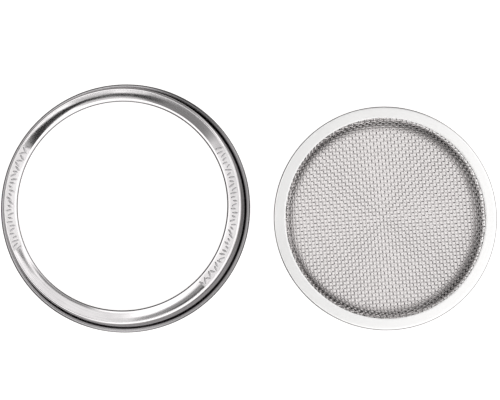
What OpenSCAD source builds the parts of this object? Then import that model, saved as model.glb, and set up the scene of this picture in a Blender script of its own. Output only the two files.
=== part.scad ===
// Two-piece sieve lid for a wide-mouth preserving jar.
// A stamped screw band stands flange up on the left. The sieve disc that it clamps
// on the jar lies beside it on the same bench, with its dish hanging down.
// Units are millimetres, +Z is up, and the bench is z = 0.

/* [Jar neck] */
// Outside diameter of the thread on the jar's neck
neck_d = 85.8; // [60:0.2:110]
// Gap all round between the jar's thread and the skirt
neck_clearance = 0.25; // [0.15:0.05:0.6]
// Rise of the thread in one turn
thread_pitch = 6.35; // [5:0.05:8]
// How far the rolled thread stands in from the skirt
thread_h = 0.6; // [0.3:0.05:0.9]
// Height of the thread's flat crest
thread_land = 0.7; // [0.5:0.1:1]

/* [Screw band] */
// Thickness of the band's sheet steel
band_sheet = 0.35; // [0.25:0.05:0.45]
// Height of the band
band_h = 16.5; // [13.5:0.25:24]
// Width of the top flange, from the outside of the skirt to the hole
flange_w = 5.3; // [4:0.1:12]
// Outside radius of the rounded shoulder
shoulder_r = 1.6; // [1:0.1:2.8]
// Outside radius of the lip that turns down round the hole
lip_r = 0.6; // [0.55:0.05:0.9]
// How far the foot flares out from the skirt to the curl
flare_w = 2.2; // [0.6:0.1:3.5]
// Height of the flare
flare_h = 2.6; // [1.5:0.1:3.2]
// Outside radius of the curled bottom edge
curl_r = 0.9; // [0.6:0.05:1.2]
// Angle left open between the end of the curl and the flare
curl_gap = 50; // [30:5:120]

/* [Sieve disc] */
// Gap all round between the disc and the thread that it drops past
drop_clearance = 0.3; // [0.2:0.05:1]
// Width of the flat folded rim
rim_w = 4.4; // [3.4:0.1:8]
// Thickness of the rim's sheet steel
rim_sheet = 0.25; // [0.2:0.05:0.4]
// Gap from the cloth's edge to where the rim's fold starts to bend
cloth_edge_gap = 0.73; // [0.1:0.01:1.2]
// Gap between the cloth and each leaf of the rim
cloth_gap = 0.02; // [0.01:0.01:0.05]
// Diameter of one wire of the cloth, which is two wires thick
wire_d = 0.4; // [0.25:0.01:0.5]
// Depth of the dish, from the cloth's margin down to its floor
dish_depth = 5.3; // [4.2:0.1:9]
// Width of the dish's wall, seen from above
wall_w = 4; // [3.3:0.1:8]
// Inside radius of the bend from the floor to the wall
floor_bend_r = 2; // [1:0.1:2.4]
// Inside radius of the bend from the wall to the margin
mouth_bend_r = 0.6; // [0.3:0.05:0.8]

/* [Layout] */
// Gap on the bench between the band's foot and the disc
bench_gap = 8.75; // [2:0.25:60]

/* [Hidden] */
$fn = 144;
// Sides that a bend of a quarter turn is drawn with
bend_steps = 8;
// How far the thread is sunk into the skirt so that they are one sheet
weld = 0.1;

// Band, from the jar's neck outwards
skirt_in_r = neck_d / 2 + neck_clearance;
skirt_out_r = skirt_in_r + band_sheet;
hole_r = skirt_out_r - flange_w;
shoulder_mid = [skirt_out_r - shoulder_r, band_h - shoulder_r];
lip_mid = [hole_r + lip_r, band_h - lip_r];
curl_mid = [skirt_in_r + flare_w + curl_r, curl_r];
foot_r = curl_mid.x + curl_r;
flare_top_z = curl_r + flare_h;

// Thread: one rolled rib that climbs the straight stretch of the skirt
thread_steps_per_turn = 24;
thread_step_angle = 360 / thread_steps_per_turn;
thread_step_z = thread_pitch / thread_steps_per_turn;
// Degrees by which each length of the thread laps the next
thread_lap = 0.7;
crest_r = skirt_in_r - thread_h;
thread_root_h = thread_land + 2 * thread_h;
thread_room = shoulder_mid.y - flare_top_z - thread_root_h;
thread_steps = floor(thread_room / thread_step_z);
thread_z = flare_top_z + thread_root_h / 2;

// Disc, from the band's thread inwards and from the bench upwards
rim_r = crest_r - drop_clearance;
mouth_r = rim_r - rim_w;
cloth_t = 2 * wire_d;
rim_t = cloth_t + 2 * (cloth_gap + rim_sheet);
cloth_r = rim_r - rim_t / 2 - cloth_edge_gap;
rim_z = dish_depth - cloth_gap - rim_sheet;

// Dish wall: a straight slope between two bends that it runs into smoothly
floor_bend_mid_r = floor_bend_r + cloth_t / 2;
mouth_bend_mid_r = mouth_bend_r + cloth_t / 2;
bends = floor_bend_mid_r + mouth_bend_mid_r;
wall_rise = dish_depth - bends;
wall_run = sqrt(wall_w ^ 2 + wall_rise ^ 2 - bends ^ 2);
wall_angle = atan2(wall_rise, wall_w) + atan2(bends, wall_run);
floor_bend_mid = [mouth_r - wall_w, cloth_t / 2 + floor_bend_mid_r];
mouth_bend_mid = [mouth_r, dish_depth + cloth_t / 2 - mouth_bend_mid_r];

// Places on the bench, with the whole set centred on the origin
set_w = 2 * foot_r + bench_gap + 2 * rim_r;
band_x = foot_r - set_w / 2;
disc_x = set_w / 2 - rim_r;

// Points along an arc, both ends included
function arc(mid, r, from, to) =
    let (steps = max(2, round(abs(to - from) / 90 * bend_steps)))
    [for (i = [0:steps]) mid + r * [cos(from + (to - from) * i / steps),
                                    sin(from + (to - from) * i / steps)]];

// Section of the band's sheet: the outside from the lip down to the end of the
// curl, then the inside back up to the lip
module band_section() {
    outside = concat(
        arc(lip_mid, lip_r, 180, 90),
        arc(shoulder_mid, shoulder_r, 90, 0),
        [[skirt_out_r, flare_top_z]],
        arc(curl_mid, curl_r - band_sheet, 180, 540 - curl_gap));
    inside = concat(
        arc(curl_mid, curl_r, 540 - curl_gap, 180),
        [[skirt_in_r, flare_top_z]],
        arc(shoulder_mid, shoulder_r - band_sheet, 0, 90),
        arc(lip_mid, lip_r - band_sheet, 90, 180));
    polygon(concat(outside, inside));
}

// Section of the thread's rib, wide at the skirt and flat at the crest
module thread_section() {
    root_x = skirt_in_r + weld;
    polygon([
        [root_x, -thread_root_h / 2 - weld],
        [crest_r, -thread_land / 2],
        [crest_r, thread_land / 2],
        [root_x, thread_root_h / 2 + weld]]);
}

// Right-hand thread, in short level lengths that step up round the skirt
module thread() {
    for (step = [0:thread_steps])
        translate([0, 0, thread_z + step * thread_step_z])
            rotate(step * thread_step_angle)
                rotate_extrude(angle = thread_step_angle + thread_lap)
                    thread_section();
}

module screw_band() {
    color("silver")
        translate([band_x, 0, 0]) {
            rotate_extrude()
                band_section();
            thread();
        }
}

// Section of the rim: one strip folded over the edge of the cloth
module rim_section() {
    fold_mid = [rim_r - rim_t / 2, rim_z + rim_t / 2];
    polygon(concat(
        [[mouth_r, rim_z + rim_t]],
        arc(fold_mid, rim_t / 2, 90, -90),
        [[mouth_r, rim_z], [mouth_r, rim_z + rim_sheet]],
        arc(fold_mid, rim_t / 2 - rim_sheet, -90, 90),
        [[mouth_r, rim_z + rim_t - rim_sheet]]));
}

module sieve_rim() {
    color("gainsboro")
        translate([disc_x, 0, 0])
            rotate_extrude()
                rim_section();
}

// Section of the cloth: floor, wall and the flat margin that the rim grips
module cloth_section() {
    underside = concat(
        [[0, 0]],
        arc(floor_bend_mid, floor_bend_mid_r + cloth_t / 2, -90, wall_angle - 90),
        arc(mouth_bend_mid, mouth_bend_mid_r - cloth_t / 2, wall_angle + 90, 90),
        [[cloth_r, dish_depth]]);
    top = concat(
        [[cloth_r, dish_depth + cloth_t]],
        arc(mouth_bend_mid, mouth_bend_mid_r + cloth_t / 2, 90, wall_angle + 90),
        arc(floor_bend_mid, floor_bend_mid_r - cloth_t / 2, wall_angle - 90, -90),
        [[0, cloth_t]]);
    polygon(concat(underside, top));
}

module wire_mesh() {
    color("darkgray")
        translate([disc_x, 0, 0])
            rotate_extrude()
                cloth_section();
}

screw_band();
sieve_rim();
wire_mesh();
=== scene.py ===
import math

import bpy
import numpy as np
from mathutils import Euler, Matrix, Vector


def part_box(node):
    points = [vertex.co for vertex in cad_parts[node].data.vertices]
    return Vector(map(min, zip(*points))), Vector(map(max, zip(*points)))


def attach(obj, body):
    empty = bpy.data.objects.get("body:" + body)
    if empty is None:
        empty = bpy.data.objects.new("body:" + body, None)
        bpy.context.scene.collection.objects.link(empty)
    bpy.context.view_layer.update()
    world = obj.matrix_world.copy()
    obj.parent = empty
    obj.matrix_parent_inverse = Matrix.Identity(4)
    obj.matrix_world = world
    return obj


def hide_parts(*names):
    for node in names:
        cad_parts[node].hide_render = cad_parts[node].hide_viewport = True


# Looks of a two-piece sieve lid for a preserving jar. The stamped screw band stands flange up
# on the left, and the dished sieve disc that it clamps lies on the right.

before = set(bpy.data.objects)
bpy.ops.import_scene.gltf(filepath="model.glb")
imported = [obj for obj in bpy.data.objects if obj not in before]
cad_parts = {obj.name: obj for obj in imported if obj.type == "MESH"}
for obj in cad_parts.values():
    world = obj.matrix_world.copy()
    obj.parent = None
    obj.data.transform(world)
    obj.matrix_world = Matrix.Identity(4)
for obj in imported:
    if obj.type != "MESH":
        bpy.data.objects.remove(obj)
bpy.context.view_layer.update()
MM = 0.001


# ---------------------------------------------------------------- node helpers

class Value:
    """A number on its way through a node tree. An expression on it adds Math nodes."""

    def __init__(self, tree, socket):
        self.tree = tree
        self.socket = socket

    def math(self, operation, *others):
        return self.tree.node("ShaderNodeMath", {"operation": operation}, [self, *others])

    def __add__(self, other):
        return self.math("ADD", other)

    def __sub__(self, other):
        return self.math("SUBTRACT", other)

    def __rsub__(self, other):
        return self.tree.node("ShaderNodeMath", {"operation": "SUBTRACT"}, [other, self])

    def __mul__(self, other):
        return self.math("MULTIPLY", other)

    def __truediv__(self, other):
        return self.math("DIVIDE", other)

    def __rtruediv__(self, other):
        return self.tree.node("ShaderNodeMath", {"operation": "DIVIDE"}, [other, self])

    __radd__ = __add__
    __rmul__ = __mul__


class Tree:
    """Adds nodes to a node tree and links what they are given."""

    def __init__(self, nodes):
        self.nodes = nodes

    def node(self, kind, settings=None, inputs=(), output=0):
        made = self.nodes.nodes.new(kind)
        for name, setting in (settings or {}).items():
            setattr(made, name, setting)
        pairs = inputs.items() if isinstance(inputs, dict) else enumerate(inputs)
        for key, given in pairs:
            self.feed(made.inputs[key], given)
        return Value(self, made.outputs[output]) if made.outputs else None

    def feed(self, socket, given):
        if isinstance(given, Value):
            self.nodes.links.new(given.socket, socket)
        else:
            socket.default_value = given

    def output(self, value, name):
        """Another output of the node that value comes from."""
        return Value(self, value.socket.node.outputs[name])

    def step(self, value, low, high, start=0.0, end=1.0):
        """Runs smoothly from start to end as value goes from low to high."""
        return self.node("ShaderNodeMapRange", {"interpolation_type": "SMOOTHSTEP"},
                         {"Value": value, "From Min": low, "From Max": high,
                          "To Min": start, "To Max": end})

    def split(self, vector):
        x = self.node("ShaderNodeSeparateXYZ", inputs=[vector])
        return x, self.output(x, "Y"), self.output(x, "Z")

    def join(self, x, y, z):
        return self.node("ShaderNodeCombineXYZ", inputs=[x, y, z])

    def blend(self, share, first, second):
        """A colour between first and second."""
        return self.node("ShaderNodeMix", {"data_type": "RGBA"},
                         {0: share, 6: first, 7: second}, 2)


# ---------------------------------------------------------------- sizes, in metres

def middle(node):
    low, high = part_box(node)
    return (low + high) / 2


band_low, band_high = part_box("screw_band")
rim_low, rim_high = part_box("sieve_rim")
cloth_low, cloth_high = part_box("wire_mesh")
band_x = middle("screw_band").x
disc_x = middle("sieve_rim").x

foot_r = (band_high.x - band_low.x) / 2
band_h = band_high.z
band_sheet = 0.35 * MM
foot_w = 3.65 * MM
flange_w = 5.2 * MM
skirt_r = foot_r - foot_w
skirt_steps = 34
hole_r = skirt_r - flange_w
shoulder_r = 0.9 * MM
curl_r = 0.9 * MM
flare_top_z = 3.5 * MM

# The flange slopes down to the hole, more steeply near it, where it turns into a lip
flange_tilt = math.radians(5)
hole_tilt = math.radians(11)
flange_out_r = skirt_r - shoulder_r
crown_r = flange_out_r - shoulder_r * math.sin(flange_tilt)
flange_steps = 14
lip_w = 0.85 * MM
lip_h = 1.3 * MM
# The lip from its lower edge up to the flange, in mm out from the hole and down from the
# flange, with the shares of the sheet that lie outwards and downwards there
lip_points = ((0.0, 0.85, 0.8, 0.0), (0.06, 0.6, 0.7, 0.1), (0.15, 0.38, 0.5, 0.4),
              (0.32, 0.22, 0.3, 0.8), (0.6, 0.11, 0.2, 1.0))

# Stamped beads stand above the flange along two arcs, given in degrees
bead_h = 0.3 * MM
top_z = band_h - bead_h
bead_arcs = (("left", 151, 205), ("right", -42, 33))

# The rolled thread: turns in all, and the share of a turn in which each end fades out
thread_pitch = 6.35 * MM
thread_h = 0.6 * MM
thread_half_w = 1.5 * MM
thread_turns = 1.375
thread_fade = 0.125
thread_start_z = 4.5 * MM

rim_r = (rim_high.x - rim_low.x) / 2
rim_w = 4.4 * MM
rim_sheet = 0.25 * MM
mouth_r = rim_r - rim_w
cloth_r = (cloth_high.x - cloth_low.x) / 2
cloth_t = 0.8 * MM
dish_depth = cloth_high.z - cloth_t
wall_w = 4 * MM
wire_r = cloth_t / 4
wire_pitch = 1.34 * MM
cloth_turn = math.radians(6.6)


# ---------------------------------------------------------------- mesh helpers

def arc(mid, r, start, end, steps):
    """Points of an arc in the (radius, height) plane, angles in degrees."""
    turns = np.radians(np.linspace(start, end, steps + 1))
    return [(mid[0] + r * math.cos(a), mid[1] + r * math.sin(a)) for a in turns]


def line(start, end, steps):
    """Points between start and end, both left out."""
    return [(start[0] + (end[0] - start[0]) * i / steps,
             start[1] + (end[1] - start[1]) * i / steps) for i in range(1, steps)]


def revolve(name, section, centre_x, steps, reshape=None):
    """Turns a closed section round the vertical axis at centre_x, and shades it smooth."""
    loop = np.array(section)
    nxt = np.roll(loop, -1, axis=0)
    if (loop[:, 0] * nxt[:, 1] - nxt[:, 0] * loop[:, 1]).sum() < 0:
        loop = loop[::-1]
    turns = np.linspace(0, 2 * math.pi, steps, endpoint=False)
    angle, r = np.meshgrid(turns, loop[:, 0], indexing="ij")
    z = np.broadcast_to(loop[:, 1], r.shape)
    if reshape:
        r, z = reshape(angle, r, z)
    points = np.stack([centre_x + r * np.cos(angle), r * np.sin(angle), z], axis=-1)
    count = len(loop)
    i, j = np.meshgrid(np.arange(steps), np.arange(count), indexing="ij")
    i2, j2 = (i + 1) % steps, (j + 1) % count
    faces = np.stack([i * count + j, i2 * count + j, i2 * count + j2, i * count + j2], axis=-1)
    mesh = bpy.data.meshes.new(name)
    mesh.from_pydata(points.reshape(-1, 3).tolist(), [], faces.reshape(-1, 4).tolist())
    mesh.shade_smooth()
    made = bpy.data.objects.new(name, mesh)
    bpy.context.scene.collection.objects.link(made)
    return made


def settle(host, name, material):
    """The plain mesh that host's geometry nodes make."""
    depsgraph = bpy.context.evaluated_depsgraph_get()
    mesh = bpy.data.meshes.new_from_object(host.evaluated_get(depsgraph))
    bpy.data.objects.remove(host)
    mesh.name = name
    made = bpy.data.objects.new(name, mesh)
    bpy.context.scene.collection.objects.link(made)
    mesh.materials.clear()
    mesh.materials.append(material)
    return made


def grow(name, nodes, settings):
    """An object whose mesh comes from a geometry node tree, with its named inputs set."""
    host = bpy.data.objects.new(name, bpy.data.meshes.new(name))
    bpy.context.scene.collection.objects.link(host)
    modifier = host.modifiers.new(name, "NODES")
    modifier.node_group = nodes
    for item in nodes.interface.items_tree:
        if item.item_type == "SOCKET" and item.in_out == "INPUT" and item.name in settings:
            modifier[item.identifier] = settings[item.name]
    return host


def geometry_tree(name, inputs):
    """A geometry node tree with named inputs, and the tree helper to fill it with."""
    nodes = bpy.data.node_groups.new(name, "GeometryNodeTree")
    nodes.interface.new_socket("Geometry", in_out="OUTPUT", socket_type="NodeSocketGeometry")
    for key, kind in inputs.items():
        nodes.interface.new_socket(key, in_out="INPUT", socket_type=kind)
    tree = Tree(nodes)
    source = tree.node("NodeGroupInput")
    return nodes, tree, lambda key: tree.output(source, key)


# ---------------------------------------------------------------- materials

def new_material(name):
    material = bpy.data.materials.new(name)
    material.use_nodes = True
    material.node_tree.nodes.clear()
    return material, Tree(material.node_tree)


def finish_material(tree, inputs):
    shader = tree.node("ShaderNodeBsdfPrincipled", inputs=inputs)
    tree.node("ShaderNodeOutputMaterial", inputs={"Surface": shader})


def centred(tree, x):
    """Coordinates from the axis of a round piece that stands at x."""
    place = tree.output(tree.node("ShaderNodeTexCoord"), "Object")
    return tree.node("ShaderNodeMapping", inputs={"Vector": place, "Location": (-x, 0, 0)})


def radius_of(tree, place):
    """Distance of a place from the vertical axis, and its three coordinates."""
    x, y, z = tree.split(place)
    return (x * x + y * y).math("SQRT"), x, y, z


def noise(tree, place, scale, detail=2.0, roughness=0.5):
    return tree.node("ShaderNodeTexNoise", inputs={
        "Vector": place, "Scale": scale, "Detail": detail, "Roughness": roughness})


def ring_grain(tree, place, scale, wander):
    """Fine lines that run round a turned or spun piece."""
    r, x, y, z = radius_of(tree, place)
    along = tree.join(r * scale + z * scale * 0.7, x * wander, y * wander)
    return noise(tree, along, 1.0, 3.0, 0.6)


def bead_mask(tree, r, x, y, z):
    """1 where the beads are pressed into the flange, 0 elsewhere."""
    pressed = 0.0
    for _, start, end in bead_arcs:
        mid = math.radians((start + end) / 2)
        half = (end - start) / 2
        toward = (x * math.cos(mid) + y * math.sin(mid)) / r
        edges = [math.cos(math.radians(half + spread)) for spread in (1.0, -1.5)]
        pressed = tree.step(toward, *edges) + pressed
    pressed = pressed * tree.step(r, hole_r + 0.6 * MM, hole_r + 1.0 * MM)
    return pressed * tree.step(z, top_z - 1.2 * MM, top_z - 0.7 * MM)


def polished_steel():
    """Bright stamped steel with fine drawn lines, and painted shade down the skirt, at the foot
    and on the lip."""
    clean = (0.94, 0.915, 0.92, 1)
    handled = (0.83, 0.805, 0.812, 1)
    painted_skirt_shade = (0.6, 0.585, 0.592, 1)
    painted_foot_shade_left = (0.36, 0.35, 0.355, 1)
    painted_foot_shade_right = (0.12, 0.116, 0.118, 1)
    drawn_line = (0.5, 0.485, 0.492, 1)
    painted_lip_shade = (0.3, 0.29, 0.295, 1)

    material, tree = new_material("polished_stamped_steel")
    place = centred(tree, band_x)
    grain = ring_grain(tree, place, 5200, 60)
    smear = noise(tree, place, 90, 3.0)
    wave = noise(tree, place, 55, 1.0)
    r, x, y, z = radius_of(tree, place)

    tint = tree.blend(tree.step(smear, 0.35, 0.7), clean, handled)
    # Painted shade: the lower skirt is darker in colour, standing in for a dark reflection.
    tint = tree.blend(tree.step(z, 3 * MM, 13 * MM), painted_skirt_shade, tint)
    # Painted shade at the foot, darker on the right side of the band.
    foot = tree.blend(tree.step(x / r, 0.1, 0.6), painted_foot_shade_left, painted_foot_shade_right)
    tint = tree.blend(tree.step(z, 1.4 * MM, 2.4 * MM), foot, tint)
    tint = tree.blend(tree.step(grain, 0.42, 0.7) * 0.3, tint, drawn_line)
    # Painted shade: a dark line along the lip at the hole's edge.
    tint = tree.blend(tree.step(r, hole_r + 0.15 * MM, hole_r + 0.48 * MM), painted_lip_shade, tint)

    wear = tree.step(smear, 0.3, 0.75) * 0.05 + grain * 0.04
    bump = tree.node("ShaderNodeBump", inputs={
        "Strength": 0.35, "Distance": 0.02 * MM, "Height": grain * 0.25 + wave * 14})
    finish_material(tree, {
        "Base Color": tint, "Metallic": 1.0,
        "Roughness": 0.04 + wear + bead_mask(tree, r, x, y, z) * 0.3, "Normal": bump})
    return material


def stamped_bead_steel():
    """The same steel where the beads are pressed, duller, and darker in colour as painted shade."""
    # Both tones are painted shade, darker than the flange's steel, mixed at random by noise.
    crest = (0.68, 0.665, 0.672, 1)
    hollow = (0.32, 0.31, 0.316, 1)

    material, tree = new_material("stamped_bead_steel")
    smear = noise(tree, centred(tree, band_x), 400, 3.0)
    bump = tree.node("ShaderNodeBump", inputs={
        "Strength": 0.3, "Distance": 0.02 * MM, "Height": smear})
    finish_material(tree, {
        "Base Color": tree.blend(smear, crest, hollow), "Metallic": 1.0,
        "Roughness": 0.12 + smear * 0.15, "Normal": bump})
    return material


def satin_steel():
    """Pale rolled steel with a satin face, and painted shade round the fold at its outer edge."""
    clean = (1, 0.992, 0.986, 1)
    rolled_line = (0.93, 0.922, 0.916, 1)
    painted_fold_shade = (0.36, 0.35, 0.35, 1)

    material, tree = new_material("satin_rolled_steel")
    place = centred(tree, disc_x)
    grain = ring_grain(tree, place, 4200, 25)
    smear = noise(tree, place, 70, 2.0)
    r, _, _, _ = radius_of(tree, place)
    tint = tree.blend(grain, clean, rolled_line)
    # Painted shade: a dark line round the fold at the rim's outer edge.
    tint = tree.blend(tree.step(r, rim_r - 0.5 * MM, rim_r - 0.2 * MM), tint, painted_fold_shade)
    bump = tree.node("ShaderNodeBump", inputs={
        "Strength": 0.3, "Distance": 0.02 * MM, "Height": grain + smear * 0.5})
    finish_material(tree, {
        "Base Color": tint, "Metallic": 1.0,
        "Roughness": 0.24 + grain * 0.12 + smear * 0.06, "Normal": bump})
    return material


def drawn_wire_steel():
    """Drawn steel wire with painted light and shade: bright on the crowns of the weave, painted
    shade where a wire falls away outwards, and more of both up the wall of the dish."""
    clean = (0.9, 0.865, 0.86, 1)
    smutty = (0.78, 0.745, 0.74, 1)
    painted_fall_shade = (0.26, 0.245, 0.245, 1)
    painted_wall_crown_shade = (0.72, 0.69, 0.685, 1)
    painted_wall_hollow_shade = (0.03, 0.028, 0.028, 1)

    material, tree = new_material("drawn_wire_steel")
    place = centred(tree, disc_x)
    smut = noise(tree, place, 260, 3.0)
    fine = noise(tree, place, 4200, 2.0)
    _, _, z = tree.split(place)
    fall = tree.output(tree.node("ShaderNodeAttribute", {"attribute_name": "fall"}), "Fac")
    sunk = tree.output(tree.node("ShaderNodeAttribute", {"attribute_name": "sunk"}), "Fac")

    tint = tree.blend(tree.step(smut, 0.35, 0.7), clean, smutty)
    # Painted shade where a wire falls away outwards.
    tint = tree.blend(tree.step(fall, -0.1, 0.8), tint, painted_fall_shade)
    # Up the dish's wall, painted shade: lighter on the crowns, near black where a wire sinks under or
    # falls away.
    hidden = tree.step(fall.math("MAXIMUM", sunk), -0.1, 0.5)
    on_wall = tree.step(z, 1.0 * MM, 2.6 * MM) * tree.step(z, 4.1 * MM, 5.0 * MM, 1.0, 0.0)
    tint = tree.blend(on_wall * 0.9, tint, tree.blend(hidden, painted_wall_crown_shade, painted_wall_hollow_shade))
    bump = tree.node("ShaderNodeBump", inputs={
        "Strength": 0.25, "Distance": 0.01 * MM, "Height": fine})
    finish_material(tree, {
        "Base Color": tint, "Metallic": 1.0, "Roughness": 0.1 + fine * 0.08 + smut * 0.06,
        "Normal": bump})
    return material


# ---------------------------------------------------------------- screw band

def flange_height(r):
    """Height of the flange's top, which slopes down to the hole, steeper near it."""
    inward = crown_r - r
    bend = (math.tan(hole_tilt) - math.tan(flange_tilt)) / 2 / (crown_r - hole_r - lip_w)
    crown_z = top_z - shoulder_r * (1 - math.cos(flange_tilt))
    return crown_z - inward * math.tan(flange_tilt) - bend * inward * inward


def flange_path(offset):
    """The lip and the flange, from the hole out to the shoulder, offset down into the sheet."""
    in_r = hole_r + lip_w
    in_z = flange_height(in_r)
    lip = [(hole_r + out * MM + offset * sideways, in_z - down * MM - offset * under)
           for out, down, sideways, under in lip_points]
    radii = [in_r + (crown_r - in_r) * i / flange_steps for i in range(flange_steps)]
    return lip + [(r, flange_height(r) - offset) for r in radii]


def band_section():
    """Outline of the band's sheet: the outside from the lip down to the end of the curl, then
    the inside back up to the lip."""
    curl_end = 490
    shoulder_mid = (flange_out_r, top_z - shoulder_r)
    skirt_in_r = skirt_r - band_sheet
    curl_mid = (foot_r - curl_r, curl_r)
    neck_out = (curl_mid[0] - curl_r + band_sheet, curl_r)
    neck_in = (curl_mid[0] - curl_r, curl_r)
    outside = ([(hole_r, top_z - lip_h)] + flange_path(0)
               + arc(shoulder_mid, shoulder_r, 90 + math.degrees(flange_tilt), 0, 16)
               + line((skirt_r, shoulder_mid[1]), (skirt_r, flare_top_z), skirt_steps)
               + [(skirt_r, flare_top_z)]
               + line((skirt_r, flare_top_z), neck_out, 4)
               + arc(curl_mid, curl_r - band_sheet, 180, curl_end, 18))
    inside = (arc(curl_mid, curl_r, curl_end, 180, 22)
              + line(neck_in, (skirt_in_r, flare_top_z), 4)
              + [(skirt_in_r, flare_top_z)]
              + line((skirt_in_r, flare_top_z), (skirt_in_r, shoulder_mid[1]), skirt_steps)
              + arc(shoulder_mid, shoulder_r - band_sheet, 0, 90 + math.degrees(flange_tilt), 10)
              + flange_path(band_sheet)[::-1]
              + [(hole_r + band_sheet * lip_points[0][2], top_z - lip_h)])
    return outside + inside


def roll_thread(angle, r, z):
    """Presses the thread into the skirt as one climbing groove that fades in and out."""
    on_skirt = np.abs(r - skirt_r + band_sheet / 2) < band_sheet
    pressed = np.zeros_like(r)
    for turn in (0, 1):
        climb = angle / (2 * math.pi) + turn
        centre = thread_start_z + climb * thread_pitch
        fade = np.clip((thread_turns - climb) / thread_fade, 0, 1) * np.clip(climb / thread_fade, 0, 1)
        reach = np.clip(np.abs(z - centre) / thread_half_w, 0, 1)
        pressed = np.maximum(pressed, fade * (1 + np.cos(math.pi * reach)) / 2)
    inside = (z > flare_top_z) & (z < band_h - shoulder_r)
    return r - thread_h * pressed * on_skirt * inside, z


def make_band(material):
    band = revolve("screw_band_steel", band_section(), band_x, 480, roll_thread)
    band.data.materials.append(material)
    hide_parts("screw_band")
    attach(band, "band")


def stamped_beads_nodes(material):
    """Oval beads in a staggered row round part of the flange, each with its own lean and
    length."""
    nodes, tree, given = geometry_tree("stamped_beads", {
        "Centre X": "NodeSocketFloat", "Height": "NodeSocketFloat", "Radius": "NodeSocketFloat",
        "Count": "NodeSocketInt", "Start": "NodeSocketFloat", "Step": "NodeSocketFloat",
        "Stagger": "NodeSocketFloat", "Lean": "NodeSocketFloat", "Slope": "NodeSocketFloat",
        "Bead": "NodeSocketVector", "Shortest": "NodeSocketFloat", "Seed": "NodeSocketInt"})
    index = tree.node("GeometryNodeInputIndex")
    angle = given("Start") + index * given("Step")
    in_or_out = index.math("MODULO", 3.0) - 1
    radius = given("Radius") + in_or_out * given("Stagger")
    x = given("Centre X") + radius * angle.math("COSINE")
    y = radius * angle.math("SINE")
    spots = tree.node("GeometryNodePoints", inputs={
        "Count": given("Count"), "Position": tree.join(x, y, given("Height"))})
    bead = tree.node("GeometryNodeMeshUVSphere", inputs={"Segments": 10, "Rings": 6, "Radius": 1.0})
    lean = tree.node("FunctionNodeRandomValue", {"data_type": "FLOAT"}, {
        2: given("Lean") * -1, 3: given("Lean"), "Seed": given("Seed")}, 1)
    size = tree.node("FunctionNodeRandomValue", {"data_type": "FLOAT"}, {
        2: given("Shortest"), 3: 1.0, "Seed": given("Seed") + 1}, 1)
    turned = tree.join(0.0, given("Slope") * -1, angle + lean)
    turned = tree.node("FunctionNodeEulerToRotation", inputs=[turned])
    scale = tree.node("ShaderNodeVectorMath", {"operation": "MULTIPLY"},
                      [given("Bead"), tree.join(size, 1.0, 1.0)])
    row = tree.node("GeometryNodeInstanceOnPoints", inputs={
        "Points": spots, "Instance": bead, "Rotation": turned, "Scale": scale})
    row = tree.node("GeometryNodeRealizeInstances", inputs=[row])
    row = tree.node("GeometryNodeSetShadeSmooth", inputs=[row])
    row = tree.node("GeometryNodeSetMaterial", inputs={"Geometry": row, "Material": material})
    tree.node("NodeGroupOutput", inputs=[row])
    return nodes


def make_beads(material):
    nodes = stamped_beads_nodes(material)
    row_r = hole_r + 2.7 * MM
    sunk = 0.02 * MM
    degrees_apart = 1.95
    for side, start, end in bead_arcs:
        count = round((end - start) / degrees_apart)
        host = grow("flange_beads_" + side, nodes, {
            "Centre X": band_x, "Height": flange_height(row_r) - sunk,
            "Radius": row_r, "Stagger": 0.35 * MM, "Count": count,
            "Start": math.radians(start), "Step": math.radians((end - start) / (count - 1)),
            "Lean": math.radians(48), "Slope": 0.07, "Bead": (1.45 * MM, 0.36 * MM, bead_h),
            "Shortest": 0.55, "Seed": 4})
        beads = settle(host, "flange_beads_" + side, material)
        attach(beads, "band")


# ---------------------------------------------------------------- sieve disc

def rim_section():
    """Outline of the rim's sheet, folded over the cloth and rounded at both inner edges."""
    mid_z = (rim_low.z + rim_high.z) / 2
    half = (rim_high.z - rim_low.z) / 2
    fold = (rim_r - half, mid_z)
    edge = 0.1 * MM
    top = line((mouth_r + edge, rim_high.z), (fold[0], rim_high.z), 6)
    under = line((fold[0], rim_low.z), (mouth_r + edge, rim_low.z), 3)
    return (arc((mouth_r + edge, rim_high.z - edge), edge, 180, 90, 3)
            + top + arc(fold, half, 90, -90, 14) + under
            + arc((mouth_r + edge, rim_low.z + edge), edge, 270, 180, 3)
            + arc((mouth_r + edge, rim_low.z + rim_sheet - edge), edge, 180, 90, 3)
            + arc(fold, half - rim_sheet, -90, 90, 10)
            + arc((mouth_r + edge, rim_high.z - rim_sheet + edge), edge, 270, 180, 3))


def make_rim(material):
    rim = revolve("sieve_rim_steel", rim_section(), disc_x, 360)
    rim.data.materials.append(material)
    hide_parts("sieve_rim")
    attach(rim, "sieve")


def straight_wires(tree, given):
    """Points along parallel straight wires that cover a square, joined by edges."""
    pitch = given("Pitch")
    half = (given("Count") - 1) * 0.5
    step = pitch / given("Rings per Pitch")
    rings = (given("Count") - 1) * given("Rings per Pitch") + 1
    starts = tree.node("GeometryNodeMeshLine", inputs={
        "Count": given("Count"), "Start Location": tree.join(half * pitch * -1, 0.0, 0.0),
        "Offset": tree.join(pitch, 0.0, 0.0)})
    wire = tree.node("GeometryNodeMeshLine", inputs={
        "Count": rings, "Start Location": tree.join(0.0, half * pitch * -1, 0.0),
        "Offset": tree.join(0.0, step, 0.0)})
    grid = tree.node("GeometryNodeInstanceOnPoints", inputs={"Points": starts, "Instance": wire})
    return tree.node("GeometryNodeRealizeInstances", inputs=[grid])


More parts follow.
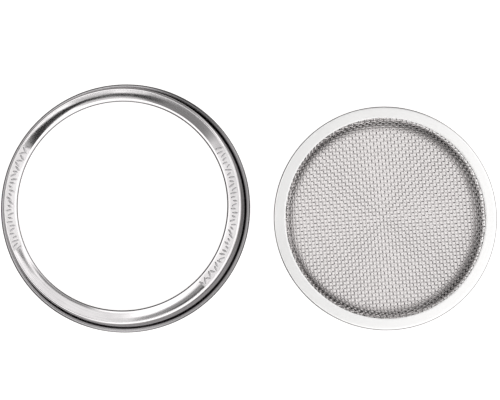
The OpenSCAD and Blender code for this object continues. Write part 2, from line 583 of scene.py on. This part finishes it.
def dish_shape(given, out):
    """Where cloth goes that lies at the distance out from the middle of the flat cloth: its
    radius and height in the dish, and how far it runs across and up there per unit."""
    length, width, floor_r = given("Wall Length"), given("Wall Width"), given("Floor Radius")
    steep, depth = given("Steepness"), given("Depth")
    top_of_wall = 0.999
    climb = ((out - floor_r) / length).math("MAXIMUM", 0.0).math("MINIMUM", 1.0)
    swing = climb * steep
    r = (out.math("MINIMUM", floor_r) + width * swing.math("SINE") / steep.math("SINE")
         + (out - floor_r - length).math("MAXIMUM", 0.0))
    rise = (1 - swing.math("COSINE")) / (1 - steep.math("COSINE")) * depth
    on_wall = climb.math("LESS_THAN", top_of_wall)
    across = width * swing.math("COSINE") / steep.math("SINE")
    up = swing.math("SINE") / (1 - steep.math("COSINE")) * depth * on_wall
    slant = (across * across + up * up).math("SQRT")
    return r, rise, across / slant, up / slant


def remember(tree, grid, name, value):
    """The same points, with a number stored on each for the material to read."""
    return tree.node("GeometryNodeStoreNamedAttribute", {"data_type": "FLOAT", "domain": "POINT"},
                     {"Geometry": grid, "Name": name, "Value": value})


def weave_and_dish(tree, given, grid):
    """Waves the wires over and under each other, and draws them into the dish."""
    x, y, _ = tree.split(tree.node("GeometryNodeInputPosition"))
    out = (x * x + y * y).math("SQRT")
    from_middle = out.math("MAXIMUM", 0.01 * MM)
    r, rise, across, up = dish_shape(given, out)
    turn = math.pi / given("Pitch")
    crossing = (x * turn).math("COSINE") * given("Side")
    over = crossing * (y * turn).math("COSINE")
    fall = crossing * (y * turn).math("SINE") * y / from_middle
    # Stored for the wires' painted shade: how far a point sinks under the other set, and how far it
    # falls away outwards.
    grid = remember(tree, grid, "sunk", over * -1)
    grid = remember(tree, grid, "fall", fall)
    over = over * given("Wire Radius")
    shift = (r - over * up) / from_middle
    moved = tree.join(x * shift, y * shift, rise + over * across + given("Floor Height"))
    return tree.node("GeometryNodeSetPosition", inputs={"Geometry": grid, "Position": moved})


def cut_round(tree, given, grid):
    """Leaves only what lies within the cloth's round edge."""
    x, y, _ = tree.split(tree.node("GeometryNodeInputPosition"))
    outside = tree.node("FunctionNodeCompare", {"operation": "GREATER_THAN"},
                        {"A": (x * x + y * y).math("SQRT"), "B": given("Cloth Radius")})
    return tree.node("GeometryNodeDeleteGeometry", {"domain": "POINT"},
                     {"Geometry": grid, "Selection": outside})


def woven_wires_nodes(material):
    """One set of the cloth's wires: straight in the flat cloth, each over and under the other
    set, and drawn into a dish with hardly any stretch."""
    nodes, tree, given = geometry_tree("woven_wires", {
        "Count": "NodeSocketInt", "Pitch": "NodeSocketFloat", "Rings per Pitch": "NodeSocketInt",
        "Wire Radius": "NodeSocketFloat", "Side": "NodeSocketFloat",
        "Cloth Radius": "NodeSocketFloat", "Floor Radius": "NodeSocketFloat",
        "Wall Width": "NodeSocketFloat", "Wall Length": "NodeSocketFloat",
        "Depth": "NodeSocketFloat", "Floor Height": "NodeSocketFloat",
        "Steepness": "NodeSocketFloat", "Place": "NodeSocketVector", "Turn": "NodeSocketVector"})
    grid = straight_wires(tree, given)
    grid = weave_and_dish(tree, given, grid)
    grid = cut_round(tree, given, grid)
    curves = tree.node("GeometryNodeMeshToCurve", inputs=[grid])
    round_wire = tree.node("GeometryNodeCurvePrimitiveCircle", inputs={
        "Resolution": 6, "Radius": given("Wire Radius")})
    tubes = tree.node("GeometryNodeCurveToMesh", inputs={
        "Curve": curves, "Profile Curve": round_wire, "Fill Caps": True})
    tubes = tree.node("GeometryNodeTransform", inputs={
        "Geometry": tubes, "Translation": given("Place"), "Rotation": given("Turn")})
    tubes = tree.node("GeometryNodeRealizeInstances", inputs=[tubes])
    tubes = tree.node("GeometryNodeSetShadeSmooth", inputs=[tubes])
    tubes = tree.node("GeometryNodeSetMaterial", inputs={"Geometry": tubes, "Material": material})
    tree.node("NodeGroupOutput", inputs=[tubes])
    return nodes


def make_cloth(material):
    nodes = woven_wires_nodes(material)
    # The flat margin inside the rim's mouth, the cloth that the wall takes up, and how far the
    # wires stop short of the cloth's edge
    margin = 0.75 * MM
    wall_length = 1.78 * wall_w
    cut_back = 0.1 * MM
    count = 2 * int((cloth_r + wall_length - wall_w + margin) / wire_pitch) + 1
    for name, side, turn in (("warp_wires", 1.0, cloth_turn),
                             ("weft_wires", -1.0, cloth_turn + math.pi / 2)):
        host = grow(name, nodes, {
            "Count": count, "Pitch": wire_pitch, "Rings per Pitch": 4,
            "Wire Radius": wire_r, "Side": side, "Cloth Radius": cloth_r - cut_back,
            "Floor Radius": mouth_r - wall_w, "Wall Width": wall_w - margin,
            "Wall Length": wall_length, "Depth": dish_depth, "Floor Height": cloth_t / 2,
            "Steepness": math.radians(82),
            "Place": (disc_x, 0.0, 0.0), "Turn": (0.0, 0.0, turn)})
        wires = settle(host, name, material)
        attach(wires, "sieve")
    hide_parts("wire_mesh")
    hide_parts("wire_mesh")


# ---------------------------------------------------------------- studio

def white_paper():
    """White paper. The camera sees it glow as if lit from below, with painted shadow where it
    shows through the cloth.
    """
    paper_white = (0.42, 0.41, 0.41, 1)
    lit_white = (0.5, 0.49, 0.485, 1)
    open_shine = (1, 0.99, 0.985, 1)
    painted_dish_shadow = (0.64, 0.615, 0.61, 1)
    painted_wall_shadow = (0.03, 0.028, 0.028, 1)

    material, tree = new_material("white_paper")
    r, _, _, _ = radius_of(tree, centred(tree, disc_x))
    # Painted shadow on the paper under the dish, darkest under its wall.
    under_dish = tree.step(r, mouth_r, mouth_r + 1 * MM, 1.0, 0.0)
    under_wall = tree.step(r, mouth_r - wall_w, mouth_r - 2 * MM) * under_dish
    shine = tree.blend(under_dish, open_shine, painted_dish_shadow)
    shine = tree.blend(under_wall, shine, painted_wall_shadow)
    paper = tree.node("ShaderNodeBsdfPrincipled", inputs={
        "Base Color": paper_white, "Roughness": 0.9, "Specular IOR Level": 0.1})
    glow = tree.node("ShaderNodeBsdfPrincipled", inputs={
        "Base Color": lit_white, "Roughness": 0.9, "Specular IOR Level": 0.1,
        "Emission Color": shine, "Emission Strength": 0.85})
    seen = tree.node("ShaderNodeLightPath")
    lit = tree.node("ShaderNodeMixShader", inputs=[seen, paper, glow])
    tree.node("ShaderNodeOutputMaterial", inputs={"Surface": lit})
    return material


def make_floor(material):
    mesh = bpy.data.meshes.new("floor")
    half = 3.0
    mesh.from_pydata([(-half, -half, 0), (half, -half, 0), (half, half, 0), (-half, half, 0)],
                     [], [(0, 1, 2, 3)])
    mesh.materials.append(material)
    floor = bpy.data.objects.new("floor", mesh)
    bpy.context.scene.collection.objects.link(floor)


def make_light():
    """A white ceiling with dark cards, hung round the middle that a level flange mirrors."""
    world = bpy.data.worlds.new("studio")
    bpy.context.scene.world = world
    world.use_nodes = True
    world.node_tree.nodes.clear()
    tree = Tree(world.node_tree)
    sky = tree.output(tree.node("ShaderNodeTexCoord"), "Generated")
    x, y, _ = tree.split(sky)
    flat = (x * x + y * y).math("SQRT")
    middle_x = -0.09
    middle_y = 0.056
    over_x = x - middle_x
    over_y = y - middle_y
    away = (over_x * over_x + over_y * over_y).math("SQRT") + 0.001
    bearing = over_y.math("ARCTAN2", over_x) * math.degrees(1)

    def card(start, end, near, far, soft, blur=0.015):
        """1 on a card that hangs between two bearings from the middle of the ceiling. Near
        and far are its distances from there, at the start and at the end."""
        halfway = (start + end) / 2
        turn = ((bearing - halfway + 540) / 360).math("FRACT") * 360 - 180
        share = (turn / (end - start) + 0.5).math("MAXIMUM", 0.0).math("MINIMUM", 1.0)
        half = (end - start) / 2
        inner = near[0] + share * (near[1] - near[0])
        outer = far[0] + share * (far[1] - far[0])
        between = tree.step(turn.math("ABSOLUTE"), half - soft, half + soft, 1.0, 0.0)
        out = tree.step(away - inner, -blur, blur) * tree.step(away - outer, -blur, blur, 1.0, 0.0)
        return between * out

    # The flange leans in more and more towards the hole, so a smaller radius mirrors a spot
    # that is further from the middle of the ceiling, on the far side of it
    edge_r = 42.2
    edge_away = 0.07
    away_per_mm = 0.068

    def flange_card(start, end, outer, inner, soft, blur):
        """A card that the flange mirrors between two bearings round the band, from the
        outer to the inner radius that is given in mm for its start and its end."""
        near = [edge_away + (edge_r - r) * away_per_mm for r in outer]
        far = [edge_away + (edge_r - r) * away_per_mm for r in inner]
        return card(start + 180, end + 180, near, far, soft, blur)

    # Cards that the flange mirrors: how dark, where they start and end round the band in
    # degrees, their outer and inner radii there in mm, and how soft their ends and sides are
    cards = (
        (0.82, 36, 80, (43.2, 43.2), (38.6, 38.6), 8, 0.015),
        (1.0, 76, 119, (41.3, 40.9), (39.9, 40.1), 4, 0.01),
        (0.5, 78, 116, (40.0, 40.0), (39.3, 39.3), 5, 0.015),
        (0.62, 102, 118, (43.0, 43.0), (41.1, 41.0), 4, 0.015),
        (0.98, 113, 152, (40.75, 42.2), (40.0, 38.9), 1.5, 0.01),
        (0.54, 153, 203, (42.4, 42.4), (38.6, 38.6), 2, 0.02),
        (0.85, 204, 222, (41.4, 40.4), (39.7, 40.1), 2, 0.015),
        (0.34, 224, 276, (43.2, 43.2), (38.6, 38.6), 5, 0.02),
        (0.8, 280, 320, (42.4, 43.4), (41.0, 40.2), 4, 0.02),
        (0.5, 296, 331, (42.3, 42.4), (41.8, 41.4), 2, 0.01),
        (0.44, -42, 33, (42.2, 42.2), (38.6, 38.6), 2, 0.02))
    # The band's shoulder mirrors one more, further out
    dark = 0.78 * card(38, 78, (0.27, 0.27), (0.75, 0.75), 7)
    for strength, *where in cards:
        dark = dark + strength * flange_card(*where)
    lamp = 1.3
    darkest = 0.03
    horizon = card(-105, 50, (0.7, 0.7), (1.3, 1.3), 15)
    edge = tree.step(flat, 0.72, 0.9, 1.0, 0.05).math("MAXIMUM", horizon)
    level = (lamp * (1 - dark)).math("MAXIMUM", darkest) * edge
    shader = tree.node("ShaderNodeBackground", inputs={"Color": level, "Strength": 1.0})
    tree.node("ShaderNodeOutputWorld", inputs={"Surface": shader})
    bpy.context.scene.view_settings.view_transform = "Standard"


def make_camera():
    data = bpy.data.cameras.new("camera")
    data.lens = 79.2
    data.sensor_width = 36.0
    camera = bpy.data.objects.new("camera", data)
    camera.location = (-0.01, -0.0226, 0.4186)
    lean, side, roll = math.radians(3.76), math.radians(-1.41), math.radians(2.31)
    camera.rotation_euler = (Euler((0, side, 0)).to_matrix()
                             @ Euler((lean, 0, 0)).to_matrix()
                             @ Euler((0, 0, roll)).to_matrix()).to_euler()
    bpy.context.scene.collection.objects.link(camera)
    bpy.context.scene.camera = camera


# ---------------------------------------------------------------- assembly

make_band(polished_steel())
make_beads(stamped_bead_steel())
make_rim(satin_steel())
make_cloth(drawn_wire_steel())
make_floor(white_paper())
make_light()
make_camera()
